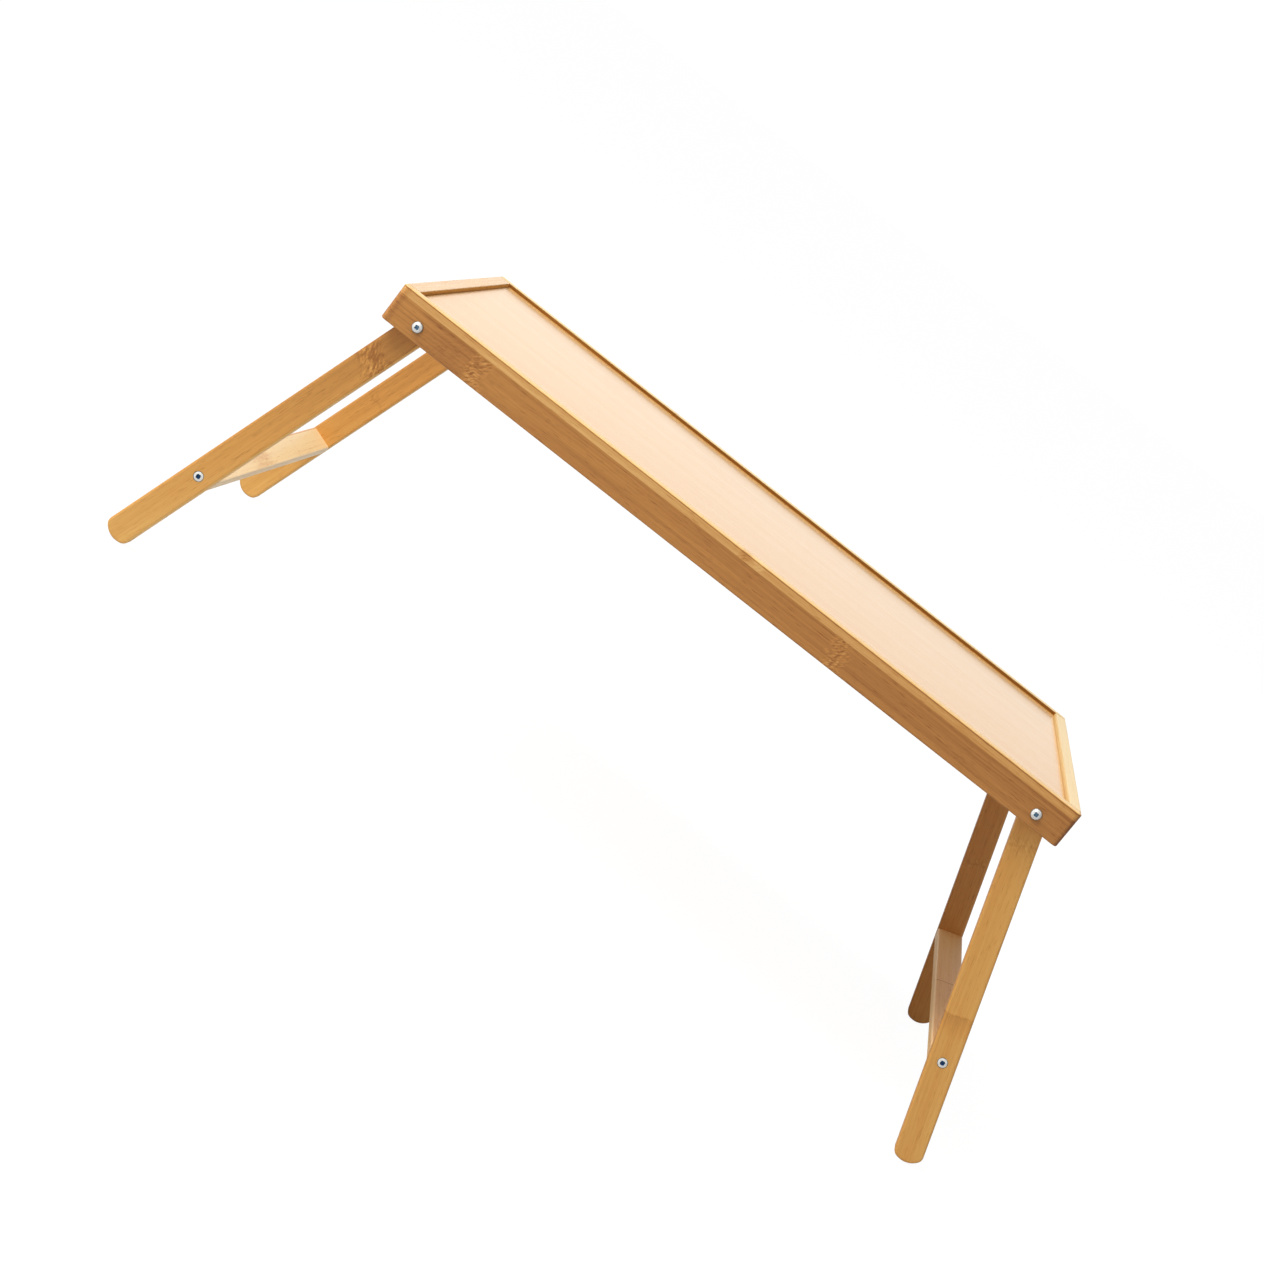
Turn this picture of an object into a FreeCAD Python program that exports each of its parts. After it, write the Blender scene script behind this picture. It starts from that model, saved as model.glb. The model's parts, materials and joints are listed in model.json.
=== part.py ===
"""Folding laptop table of bamboo: a shallow tray on two leg frames that fold in under it.

Frame: millimetres, +Z up, X along the tray, the front long rail on the -Y side.
The origin is on the floor, below the middle of the tray, with both leg frames
splayed open against their stops.
"""

import os
import re

import FreeCAD
import Part
import Sketcher

SHEET = "sizes"

# Differences below this count as none when edges are picked and volumes compared.
TOUCH = 1e-4

# Driving dimensions in millimetres and degrees, one cell of the sheet each.
SIZES = {
    # Tray frame
    "tray_length": 500.0,
    "tray_depth": 350.0,
    "rail_height": 24.3,
    "long_rail_thick": 11.0,
    "end_rail_thick": 9.0,
    "corner_round": 3.5,
    "rail_arris": 1.0,
    # Panel let into the rails
    "rim_depth": 2.8,
    "panel_thick": 3.0,
    "tongue_thick": 2.0,
    "tongue_reach": 3.5,
    "panel_clear": 0.3,
    "tongue_clear": 0.1,
    # Dowels of the corner joints
    "dowel_radius": 2.0,
    "dowel_in_long_rail": 7.0,
    "dowel_in_end_rail": 15.0,
    "dowel_bevel": 0.6,
    "dowel_clear": 0.1,
    "low_dowel_rise": 4.8,
    "dowel_pitch": 7.0,
    # Legs, and how they stand
    "leg_reach": 228.0,
    "leg_width": 18.0,
    "leg_thick": 10.0,
    "leg_arris": 1.5,
    "foot_crown_radius": 12.0,
    "foot_corner_round": 5.0,
    "splay_angle": 19.0,
    "pivot_rise": 8.5,
    "stop_clear": 0.1,
    # Stretcher slats between the legs
    "stretcher_drop": 162.5,
    "stretcher_thick": 8.0,
    "stretcher_arris": 1.2,
    # Pivot bolts with their washers and dome nuts
    "bolt_radius": 2.0,
    "bolt_clear": 0.1,
    "pivot_fit": 0.08,
    "run_clear": 0.05,
    "bolt_head_radius": 3.5,
    "bolt_head_height": 2.4,
    "bolt_head_rim": 0.7,
    "bolt_bevel": 0.5,
    "bolt_in_nut": 4.0,
    "washer_radius": 5.0,
    "washer_thick": 1.0,
    "nut_flats": 7.0,
    "nut_hex_height": 3.2,
    "nut_dome_radius": 3.2,
    "nut_bore_spare": 0.6,
    "nut_clear": 0.05,
    # Raised countersunk screws that hold the stretchers
    "screw_radius": 1.75,
    "screw_head_radius": 3.3,
    "screw_head_rise": 0.7,
    "screw_head_rim": 0.3,
    "screw_sink": 0.2,
    "screw_length": 35.0,
    "screw_point": 4.0,
    "screw_clear": 0.05,
    # Cross recess of both kinds of head
    "recess_span": 4.0,
    "recess_arm": 1.2,
    "recess_depth": 1.5,
    # One overrun for cuts that pass right through
    "overrun": 1.0,
}

# Places worked out from the sizes; a place may use the ones above it.
PLACES = {
    # The leg's outer side bears on the rounded lower inner edge of the end rail.
    "stop_reach": "(leg_width / 2 + stop_clear + pivot_rise * sin(splay_angle)"
                  " - rail_arris * (cos(splay_angle) + sin(splay_angle) - 1)) / cos(splay_angle)",
    "pivot_x": "tray_length / 2 - end_rail_thick - stop_reach",
    # The crowned foot stands on the point right below the centre of its crown.
    "pivot_z": "(leg_reach - foot_crown_radius) * cos(splay_angle) + foot_crown_radius",
    "rail_z": "pivot_z - pivot_rise",
    "half_length": "tray_length / 2",
    "half_depth": "tray_depth / 2",
    "inner_x": "half_length - end_rail_thick",
    "inner_y": "half_depth - long_rail_thick",
    "panel_rise": "rail_height - rim_depth - panel_thick",
    "groove_top": "panel_rise + tongue_thick + tongue_clear",
    "groove_width": "tongue_thick + 2 * tongue_clear",
    "groove_reach": "tongue_reach + panel_clear",
    "dowel_x": "half_length - end_rail_thick / 2",
    "leg_y": "inner_y - washer_thick - run_clear",
    "leg_inner_y": "leg_y - leg_thick",
    "nut_washer_y": "leg_inner_y - run_clear",
    "nut_y": "nut_washer_y - washer_thick",
    "bolt_length": "half_depth - nut_y + bolt_in_nut",
    "bolt_dome": "bolt_head_height - bolt_head_rim",
    "bolt_dome_radius": "(bolt_head_radius ^ 2 + bolt_dome ^ 2) / (2 * bolt_dome)",
    "screw_top": "screw_sink - screw_head_rise",
    "screw_dome_radius": "(screw_head_radius ^ 2 + screw_head_rise ^ 2) / (2 * screw_head_rise)",
    "screw_cone": "screw_head_radius - screw_radius",
    "screw_tip": "screw_sink + screw_length",
}

SIDES = {"left": -1, "right": 1}
ENDS = {"front": 0, "back": 180}

doc = FreeCAD.newDocument("folding_laptop_table")
sub_parts = []


def write_sheet():
    """Put every driving dimension into its own cell, with its name as alias."""
    sheet = doc.addObject("Spreadsheet::Sheet", SHEET)
    for row, (name, value) in enumerate(SIZES.items(), start=1):
        sheet.set(f"A{row}", name)
        sheet.set(f"B{row}", str(value))
        sheet.setAlias(f"B{row}", name)
    doc.recompute()


def formula(text):
    """Spell a formula out for the document: sizes as cells, places as their own formulas."""

    def spell(match):
        word = match.group()
        if word in SIZES:
            return f"{SHEET}.{word}"
        if word in PLACES:
            return f"({formula(PLACES[word])})"
        return word

    return re.sub(r"[a-z_]+", spell, text)


def value_of(text):
    """Present value of a formula."""
    result = doc.getObject(SHEET).evalExpression(formula(text))
    return float(getattr(result, "Value", result))


def bind(item, name, text):
    """Tie one property or constraint to a formula."""
    item.setExpression(name, formula(text))


def new_body(label, place=("0", "0", "0"), turns=()):
    """Start a sub-part at a place, turned by the given rotations, first one outermost."""
    body = doc.addObject("PartDesign::Body", label)
    body.Label = label
    rotation = " * ".join(turns) or "rotationz(0)"
    bind(body, "Placement", f"placement(vector({'; '.join(place)}); {rotation})")
    sub_parts.append(body)
    return body


def new_sketch(body, role, name, offset="0"):
    """Sketch on one of the body's own origin planes, moved along that plane's normal."""
    plane = next(item for item in body.Origin.OriginFeatures if item.Role == role)
    sketch = body.newObject("Sketcher::SketchObject", name)
    sketch.AttachmentSupport = [(plane, "")]
    sketch.MapMode = "FlatFace"
    bind(sketch, "AttachmentOffset.Base.z", offset)
    return sketch


def fix(sketch, kind, *where, text):
    """Add one dimension to a sketch and tie it to a formula."""
    index = sketch.addConstraint(Sketcher.Constraint(kind, *where, value_of(text)))
    bind(sketch, f"Constraints[{index}]", text)


def fix_point(sketch, line, end, spot):
    """Hold one end of a line or arc at a spot measured from the sketch's origin."""
    for kind, text in zip(("DistanceX", "DistanceY"), spot):
        fix(sketch, kind, -1, 1, line, end, text=text)


def outline(sketch, spots, arcs=None):
    """Closed outline through spots; arcs gives the radius of the bulging stretches by number."""
    arcs = arcs or {}
    points = [FreeCAD.Vector(value_of(x), value_of(y), 0) for x, y in spots]
    lines = []
    for number, start in enumerate(points):
        end = points[(number + 1) % len(points)]
        if number in arcs:
            shape = bulge(start, end, value_of(arcs[number]))
        else:
            shape = Part.LineSegment(start, end)
        lines.append(sketch.addGeometry(shape))
    for number, line in enumerate(lines):
        after = lines[(number + 1) % len(lines)]
        sketch.addConstraint(Sketcher.Constraint("Coincident", line, 2, after, 1))
        fix_point(sketch, line, 1, spots[number])
        if number in arcs:
            fix(sketch, "Radius", line, text=arcs[number])


def bulge(start, end, radius):
    """Short arc between two points that bulges to the right of the way from start to end."""
    chord = end - start
    right = FreeCAD.Vector(chord.y, -chord.x, 0).normalize()
    rise = radius - (radius ** 2 - (chord.Length / 2) ** 2) ** 0.5
    middle = (start + end) * 0.5 + right * rise
    return Part.Arc(start, middle, end)


def rectangle(sketch, left, right, bottom, top):
    """Upright rectangle with each side at its own distance from the sketch's origin."""
    outline(sketch, [(left, bottom), (right, bottom), (right, top), (left, top)])


def circle(sketch, across, up, radius):
    """Circle about a spot measured from the sketch's origin."""
    centre = FreeCAD.Vector(value_of(across), value_of(up), 0)
    ring = sketch.addGeometry(Part.Circle(centre, FreeCAD.Vector(0, 0, 1), value_of(radius)))
    fix_point(sketch, ring, 3, (across, up))
    fix(sketch, "Radius", ring, text=radius)


def volume_of(body):
    """Volume of the body so far."""
    return 0 if body.Shape.isNull() else body.Shape.Volume


def extrude(body, kind, sketch, length, reverse=False):
    """Pad or Pocket of a set length, added to the body."""
    before = volume_of(body)
    feature = body.newObject(f"PartDesign::{kind}", f"{kind.lower()}_{sketch.Name}")
    feature.Profile = sketch
    feature.Reversed = reverse
    bind(feature, "Length", length)
    finish(feature, body, before)


def revolve(body, kind, sketch):
    """Revolution or Groove all the way round the sketch's upright axis."""
    before = volume_of(body)
    feature = body.newObject(f"PartDesign::{kind}", f"{kind.lower()}_{sketch.Name}")
    feature.Profile = sketch
    feature.ReferenceAxis = (sketch, ["V_Axis"])
    feature.Angle = 360
    finish(feature, body, before)


def ease_edges(body, kind, wanted, size):
    """Fillet or Chamfer those edges of the body so far that the wanted test picks."""
    doc.recompute()
    base = body.Tip
    before = volume_of(body)
    names = [f"Edge{number}" for number, edge in enumerate(base.Shape.Edges, start=1) if wanted(edge)]
    feature = body.newObject(f"PartDesign::{kind}", f"{kind.lower()}_{body.Name}")
    feature.Base = (base, names)
    bind(feature, "Radius" if kind == "Fillet" else "Size", size)
    finish(feature, body, before)


def round_edges(body, wanted, radius):
    """Fillet the wanted edges."""
    ease_edges(body, "Fillet", wanted, radius)


def finish(feature, body, before):
    """Recompute after a feature and make sure that it changed the solid."""
    doc.recompute()
    if abs(volume_of(body) - before) < TOUCH:
        raise RuntimeError(f"{feature.Name} changes nothing on {body.Label}")


def lies_at(edge, axis, text):
    """True for an edge whose box is flat along one axis at the formula's value."""
    box = edge.BoundBox
    low, high = getattr(box, f"{axis}Min"), getattr(box, f"{axis}Max")
    target = value_of(text)
    return abs(low - target) < TOUCH and abs(high - target) < TOUCH


def is_upright(edge):
    """True for a straight edge along Z."""
    box = edge.BoundBox
    return box.XLength < TOUCH and box.YLength < TOUCH


def make_long_rail(label, turn):
    """Long rail, modelled at the front: full length, grooved, bored for bolts and dowels."""
    body = new_body(label, ("0", "0", "rail_z"), (f"rotationz({turn})",))
    plan = new_sketch(body, "XY_Plane", f"{label}_plan")
    rectangle(plan, "-half_length", "half_length", "-half_depth", "-inner_y")
    extrude(body, "Pad", plan, "rail_height")
    round_edges(body, lambda e: is_upright(e) and lies_at(e, "Y", "-half_depth"), "corner_round")
    round_edges(body, lambda e: lies_at(e, "Z", "0") or lies_at(e, "Z", "rail_height"), "rail_arris")

    groove = new_sketch(body, "XY_Plane", f"{label}_groove", "groove_top")
    rectangle(groove, "-inner_x - groove_reach", "inner_x + groove_reach",
              "-inner_y - groove_reach", "-inner_y + overrun")
    extrude(body, "Pocket", groove, "groove_width")

    bores = new_sketch(body, "XZ_Plane", f"{label}_bores", "inner_y")
    for side in SIDES.values():
        circle(bores, f"{side} * pivot_x", "pivot_rise", "bolt_radius + bolt_clear")
    extrude(body, "Pocket", bores, "long_rail_thick + overrun", reverse=True)

    sockets = new_sketch(body, "XZ_Plane", f"{label}_sockets", "inner_y")
    for side in SIDES.values():
        for step in range(2):
            circle(sockets, f"{side} * dowel_x", f"low_dowel_rise + {step} * dowel_pitch",
                   "dowel_radius + dowel_clear")
    extrude(body, "Pocket", sockets, "dowel_in_long_rail + dowel_clear", reverse=True)


def make_end_rail(label, turn):
    """End rail, modelled at the left: butts between the long rails and stops the legs."""
    body = new_body(label, ("0", "0", "rail_z"), (f"rotationz({turn})",))
    plan = new_sketch(body, "XY_Plane", f"{label}_plan")
    rectangle(plan, "-half_length", "-inner_x", "-inner_y", "inner_y")
    extrude(body, "Pad", plan, "rail_height")

    def long_arris(edge):
        return edge.BoundBox.YLength > value_of("inner_y")

    round_edges(body, long_arris, "rail_arris")

    groove = new_sketch(body, "XY_Plane", f"{label}_groove", "groove_top")
    rectangle(groove, "-inner_x - groove_reach", "-inner_x + overrun",
              "-inner_y - overrun", "inner_y + overrun")
    extrude(body, "Pocket", groove, "groove_width")

    for end, name in ((1, "front"), (-1, "back")):
        sockets = new_sketch(body, "XZ_Plane", f"{label}_{name}_sockets", f"{end} * inner_y")
        for step in range(2):
            circle(sockets, "-dowel_x", f"low_dowel_rise + {step} * dowel_pitch",
                   "dowel_radius + dowel_clear")
        extrude(body, "Pocket", sockets, "dowel_in_end_rail + dowel_clear", reverse=end < 0)


def make_top_panel():
    """Panel: a thin tongue all round in the rails' grooves, and the raised working face."""
    body = new_body("top_panel", ("0", "0", "rail_z + panel_rise"))
    tongue = new_sketch(body, "XY_Plane", "panel_tongue")
    reach_x, reach_y = "inner_x + tongue_reach", "inner_y + tongue_reach"
    rectangle(tongue, f"-({reach_x})", reach_x, f"-({reach_y})", reach_y)
    extrude(body, "Pad", tongue, "tongue_thick")
    face = new_sketch(body, "XY_Plane", "panel_face")
    face_x, face_y = "inner_x - panel_clear", "inner_y - panel_clear"
    rectangle(face, f"-({face_x})", face_x, f"-({face_y})", face_y)
    extrude(body, "Pad", face, "panel_thick")


def make_corner_dowels():
    """Two dowels in each of the four corner joints, bevelled at both ends."""
    body = new_body("corner_dowels", ("0", "0", "rail_z"))
    body.AllowCompound = True
    for end, name in ((1, "front"), (-1, "back")):
        rounds = new_sketch(body, "XZ_Plane", f"{name}_dowels", f"{end} * (inner_y + dowel_in_long_rail)")
        for side in SIDES.values():
            for step in range(2):
                circle(rounds, f"{side} * dowel_x", f"low_dowel_rise + {step} * dowel_pitch", "dowel_radius")
        extrude(body, "Pad", rounds, "dowel_in_long_rail + dowel_in_end_rail", reverse=end > 0)
    ease_edges(body, "Chamfer", lambda e: isinstance(e.Curve, Part.Circle), "dowel_bevel")


def cut_cross_recess(body, top):
    """Cross recess sunk into a head whose top lies at the given height of the upright axis."""
    cross = new_sketch(body, "XZ_Plane", f"{body.Name}_recess", f"-({top})")
    span, arm = "recess_span / 2", "recess_arm / 2"
    quarter = [(arm, span), (arm, arm), (span, arm)]
    corners = []
    for across, up in (("", ""), ("", "-"), ("-", "-"), ("-", "")):
        spots = [(f"{across}{x}", f"{up}{y}") for x, y in quarter]
        corners += spots if across == up else spots[::-1]
    outline(cross, corners)
    extrude(body, "Pocket", cross, "recess_depth")


def make_pivot_bolt(label, place, turns):
    """Pivot bolt along Y: domed head outside the rail, plain shank, bevelled tip in the nut."""
    body = new_body(label, place, turns)
    profile = new_sketch(body, "XY_Plane", f"{label}_profile")
    outline(profile, [
        ("0", "-bolt_head_height"),
        ("bolt_head_radius", "-bolt_head_rim"),
        ("bolt_head_radius", "0"),
        ("bolt_radius", "0"),
        ("bolt_radius", "bolt_length - bolt_bevel"),
        ("bolt_radius - bolt_bevel", "bolt_length"),
        ("0", "bolt_length"),
    ], {0: "bolt_dome_radius"})
    revolve(body, "Revolution", profile)
    cut_cross_recess(body, "-bolt_head_height")


def make_washer(label, place, turns):
    """Flat washer round the pivot bolt."""
    body = new_body(label, place, turns)
    ring = new_sketch(body, "XZ_Plane", f"{label}_ring")
    circle(ring, "0", "0", "washer_radius")
    circle(ring, "0", "0", "bolt_radius + bolt_clear")
    extrude(body, "Pad", ring, "washer_thick", reverse=True)


def make_pivot_nut(label, place, turns):
    """Dome nut along Y: hexagon against the washer, closed dome inwards, blind bore."""
    body = new_body(label, place, turns)
    hexagon = new_sketch(body, "XZ_Plane", f"{label}_hexagon")
    corner = "nut_flats / 2 / cos(30)"
    outline(hexagon, [(f"{corner} * cos({60 * turn})", f"{corner} * sin({60 * turn})") for turn in range(6)])
    extrude(body, "Pad", hexagon, "nut_hex_height", reverse=True)
    dome = new_sketch(body, "XY_Plane", f"{label}_dome")
    outline(dome, [
        ("0", "0"),
        ("nut_dome_radius", "0"),
        ("nut_dome_radius", "nut_hex_height"),
        ("0", "nut_hex_height + nut_dome_radius"),
    ], {2: "nut_dome_radius"})
    revolve(body, "Revolution", dome)
    bore = new_sketch(body, "XZ_Plane", f"{label}_bore")
    circle(bore, "0", "0", "bolt_radius + nut_clear")
    extrude(body, "Pocket", bore, "bolt_in_nut + nut_bore_spare")


def make_leg(label, place, turns):
    """Leg in the XZ plane: round head about the pivot, crowned foot, eased all round."""
    body = new_body(label, place, turns)
    face = new_sketch(body, "XZ_Plane", f"{label}_face")
    draw_leg_face(face)
    extrude(body, "Pad", face, "leg_thick", reverse=True)
    foot_corner = "foot_crown_radius - leg_reach - (foot_crown_radius ^ 2 - leg_width ^ 2 / 4) ^ 0.5"
    round_edges(body, lambda e: lies_at(e, "Z", foot_corner), "foot_corner_round")
    round_edges(body, lambda e: lies_at(e, "Y", "0") or lies_at(e, "Y", "leg_thick"), "leg_arris")

    pivot = new_sketch(body, "XZ_Plane", f"{label}_pivot")
    circle(pivot, "0", "0", "bolt_radius + pivot_fit")
    extrude(body, "Pocket", pivot, "leg_thick + overrun")

    seat = new_sketch(body, "XY_Plane", f"{label}_screw_seat", "-stretcher_drop")
    rim = "screw_head_radius + screw_clear"
    shank = "screw_radius + screw_clear"
    outline(seat, [
        ("0", "-overrun"),
        (rim, "-overrun"),
        (rim, "screw_sink + screw_head_rim"),
        (shank, "screw_sink + screw_head_rim + screw_cone"),
        (shank, "leg_thick + overrun"),
        ("0", "leg_thick + overrun"),
    ])
    revolve(body, "Groove", seat)


def draw_leg_face(face):
    """Leg outline: half circle about the pivot, two straight sides, and the crown of the foot."""
    half = value_of("leg_width / 2")
    crown = value_of("foot_crown_radius")
    middle = FreeCAD.Vector(0, value_of("foot_crown_radius - leg_reach"), 0)
    low = middle.y - (crown ** 2 - half ** 2) ** 0.5
    left_top, right_top = FreeCAD.Vector(-half, 0, 0), FreeCAD.Vector(half, 0, 0)
    left_low, right_low = FreeCAD.Vector(-half, low, 0), FreeCAD.Vector(half, low, 0)
    head = face.addGeometry(Part.Arc(right_top, FreeCAD.Vector(0, half, 0), left_top))
    left = face.addGeometry(Part.LineSegment(left_top, left_low))
    foot = face.addGeometry(Part.Arc(left_low, middle - FreeCAD.Vector(0, crown, 0), right_low))
    right = face.addGeometry(Part.LineSegment(right_low, right_top))
    face.addConstraint([
        Sketcher.Constraint("Coincident", head, 3, -1, 1),
        Sketcher.Constraint("Tangent", head, 2, left, 1),
        Sketcher.Constraint("Tangent", head, 1, right, 2),
        Sketcher.Constraint("Vertical", left),
        Sketcher.Constraint("Vertical", right),
        Sketcher.Constraint("Coincident", left, 2, foot, 1),
        Sketcher.Constraint("Coincident", foot, 2, right, 1),
    ])
    fix(face, "Radius", head, text="leg_width / 2")
    fix(face, "Radius", foot, text="foot_crown_radius")
    fix_point(face, foot, 3, ("0", "foot_crown_radius - leg_reach"))


def make_stretcher(label, place, turns):
    """Slat along Y between the two legs of a frame, with a screw pilot in each end."""
    body = new_body(label, place, turns)
    section = new_sketch(body, "XZ_Plane", f"{label}_section", "leg_inner_y")
    rectangle(section, "-leg_width / 2", "leg_width / 2", "-stretcher_thick / 2", "stretcher_thick / 2")
    extrude(body, "Pad", section, "2 * leg_inner_y", reverse=True)
    round_edges(body, lambda e: e.BoundBox.YLength > value_of("leg_inner_y"), "stretcher_arris")
    for end, name in ((1, "front"), (-1, "back")):
        pilot = new_sketch(body, "XZ_Plane", f"{label}_{name}_pilot", f"{end} * leg_inner_y")
        circle(pilot, "0", "0", "screw_radius + screw_clear")
        extrude(body, "Pocket", pilot, "screw_tip - leg_thick + screw_clear", reverse=end < 0)


def make_stretcher_screw(label, place, turns):
    """Screw along Y: its rim just below the leg's face, a low dome on it, a cone, shank and point."""
    body = new_body(label, place, turns)
    profile = new_sketch(body, "XY_Plane", f"{label}_profile")
    outline(profile, [
        ("0", "screw_top"),
        ("screw_head_radius", "screw_sink"),
        ("screw_head_radius", "screw_sink + screw_head_rim"),
        ("screw_radius", "screw_sink + screw_head_rim + screw_cone"),
        ("screw_radius", "screw_tip - screw_point"),
        ("0", "screw_tip"),
    ], {0: "screw_dome_radius"})
    revolve(body, "Revolution", profile)
    cut_cross_recess(body, "screw_top")


def make_pivot_hardware(corner, side, turn):
    """Bolt, two washers and dome nut of one pivot, strung along its axis."""
    sign = -1 if turn == 0 else 1

    def place(depth):
        return (f"{side} * pivot_x", f"{sign} * ({depth})", "pivot_z")

    turns = (f"rotationz({turn})",)
    make_pivot_bolt(f"{corner}_pivot_bolt", place("half_depth"), turns)
    make_washer(f"{corner}_pivot_washer", place("inner_y"), turns)
    make_washer(f"{corner}_nut_washer", place("nut_washer_y"), turns)
    make_pivot_nut(f"{corner}_pivot_nut", place("nut_y"), turns)


def make_leg_frame(name, side):
    """One swinging frame: a front and a back leg joined by a screwed slat."""
    splay = f"rotationy({-side} * splay_angle)"
    drop_x = f"{side} * (pivot_x + stretcher_drop * sin(splay_angle))"
    drop_z = "pivot_z - stretcher_drop * cos(splay_angle)"
    for end, turn in ENDS.items():
        sign = -1 if turn == 0 else 1
        leg_face = f"{sign} * leg_y"
        turns = (splay, f"rotationz({turn})")
        make_leg(f"{name}_{end}_leg", (f"{side} * pivot_x", leg_face, "pivot_z"), turns)
        make_stretcher_screw(f"{name}_{end}_stretcher_screw", (drop_x, leg_face, drop_z), turns)
    make_stretcher(f"{name}_stretcher", (drop_x, "0", drop_z), (splay,))


def check_model():
    """Stop if any object failed to compute or any sub-part is not a sound solid."""
    for item in doc.Objects:
        if {"Invalid", "Error"} & set(item.State):
            raise RuntimeError(f"{item.Name} did not compute: {item.State}")
    for item in sub_parts:
        if item.Shape.isNull() or not item.Shape.isValid() or not item.Shape.Solids:
            raise RuntimeError(f"{item.Label} is not a sound solid")


def write_parts():
    """Write each sub-part to its own file, named after its label."""
    os.makedirs("parts", exist_ok=True)
    for item in sub_parts:
        item.Shape.exportStep(os.path.join("parts", f"{item.Label}.step"))


def main():
    write_sheet()
    for end, turn in ENDS.items():
        make_long_rail(f"{end}_rail", turn)
    for side, turn in (("left", 0), ("right", 180)):
        make_end_rail(f"{side}_end_rail", turn)
    make_top_panel()
    make_corner_dowels()
    for name, side in SIDES.items():
        for end, turn in ENDS.items():
            make_pivot_hardware(f"{name}_{end}", side, turn)
        make_leg_frame(name, side)
    doc.recompute()
    check_model()
    write_parts()


main()
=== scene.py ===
"""Folding laptop table of laminated bamboo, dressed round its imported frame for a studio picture.

Every length is in metres unless its name ends in _mm, and +Z is up. The front rail is on the -Y side.
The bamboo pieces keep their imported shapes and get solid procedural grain. The bolts and screws are
modelled afresh, with domed heads and tapered cross recesses.
"""

import json
import logging
import math
from dataclasses import dataclass
from enum import Enum
from typing import Iterable, Sequence

import bmesh
import bpy
from mathutils import Matrix, Quaternion, Vector


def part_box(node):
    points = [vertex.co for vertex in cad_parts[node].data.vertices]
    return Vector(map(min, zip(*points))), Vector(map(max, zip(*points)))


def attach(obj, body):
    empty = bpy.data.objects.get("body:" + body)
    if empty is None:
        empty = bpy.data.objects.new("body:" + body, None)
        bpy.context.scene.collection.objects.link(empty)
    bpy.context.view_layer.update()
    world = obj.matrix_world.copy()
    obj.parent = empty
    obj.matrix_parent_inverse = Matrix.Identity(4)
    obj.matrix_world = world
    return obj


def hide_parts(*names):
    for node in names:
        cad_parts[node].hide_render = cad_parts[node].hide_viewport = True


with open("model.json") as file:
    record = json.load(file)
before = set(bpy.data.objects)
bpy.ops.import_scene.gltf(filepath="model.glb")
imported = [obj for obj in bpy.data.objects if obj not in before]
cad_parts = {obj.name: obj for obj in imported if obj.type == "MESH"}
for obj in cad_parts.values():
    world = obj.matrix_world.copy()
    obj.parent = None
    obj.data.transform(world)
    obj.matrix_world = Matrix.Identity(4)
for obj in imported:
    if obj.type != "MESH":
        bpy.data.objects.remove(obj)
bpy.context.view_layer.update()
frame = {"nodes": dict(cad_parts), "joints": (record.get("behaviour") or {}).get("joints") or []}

LOG = logging.getLogger("laptop_table")
MM = 0.001

Colour = tuple[float, float, float, float]
Screen = tuple[int, int, int]
Spot = tuple[float, float, float]
Span = tuple[float, float]
Bands = tuple[tuple[float, float], ...]
Outline = list[tuple[float, float]]
Socket = bpy.types.NodeSocket
Source = Socket | float | Sequence[float]
MeshElement = bmesh.types.BMFace | bmesh.types.BMEdge | bmesh.types.BMVert

WHITE: Colour = (1.0, 1.0, 1.0, 1.0)
SCREEN_FULL = 255
SCREEN_KNEE = 0.04045
SCREEN_SLOPE = 12.92
SCREEN_OFFSET = 0.055
SCREEN_POWER = 2.4
NOISE_MIDDLE = 0.5
SEED_STEP: Spot = (7.31, 3.17, 5.71)
TONE_PLACES = (0.1, 0.5, 0.9)
DRIFT_RUN_MM = 100


def linear_share(value: int) -> float:
    """Scene-linear share of one channel of a screen colour.

    Args:
        value: The channel, 0 to 255.

    Returns:
        The linear share, 0 to 1.
    """
    share = value / SCREEN_FULL
    if share <= SCREEN_KNEE:
        return share / SCREEN_SLOPE
    return ((share + SCREEN_OFFSET) / (1 + SCREEN_OFFSET)) ** SCREEN_POWER


def screen_colour(red: int, green: int, blue: int) -> Colour:
    """Scene-linear colour of a screen colour, with full alpha."""
    return (linear_share(red), linear_share(green), linear_share(blue), 1.0)


class Side(Enum):
    """Left or right half of the table, with its sign along X."""

    LEFT = -1
    RIGHT = 1

    @property
    def label(self) -> str:
        """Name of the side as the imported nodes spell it."""
        return self.name.lower()


class End(Enum):
    """Front or back half of the table, with its sign along Y."""

    FRONT = -1
    BACK = 1

    @property
    def label(self) -> str:
        """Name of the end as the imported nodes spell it."""
        return self.name.lower()


class GrainRun(Enum):
    """How the grain of a piece lies at rest: Euler angles in degrees that turn X onto the grain.

    The legs and slats find theirs by the name of their side.
    """

    ALONG_X = (0.0, 0.0, 0.0)
    ALONG_Y = (0.0, 0.0, 90.0)
    LEFT_LEG = (0.0, 109.0, 0.0)
    RIGHT_LEG = (0.0, 71.0, 0.0)
    LEFT_SLAT = (19.0, 0.0, 90.0)
    RIGHT_SLAT = (-19.0, 0.0, 90.0)

    @property
    def radians(self) -> Spot:
        """The three angles in radians."""
        return tuple(math.radians(angle) for angle in self.value)


class Across(Enum):
    """Which way the laminations of a piece are stacked, as the axis of its grain space."""

    WIDTH = 1
    HEIGHT = 2


class Seed(Enum):
    """Seeds of the grain in each sort of piece."""

    LONG_RAIL = 2.0
    END_RAIL = 6.0
    PANEL = 11.0
    LEG = 13.0
    SLAT = 17.0
    DOWEL = 21.0


class Layer(Enum):
    """Layers of one grain, with the shift of the seed that keeps their noises apart."""

    FIBRE = 0.0
    SPECK = 1.0
    STREAK = 3.0
    FLECK = 5.0
    SWAY = 9.0


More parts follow.
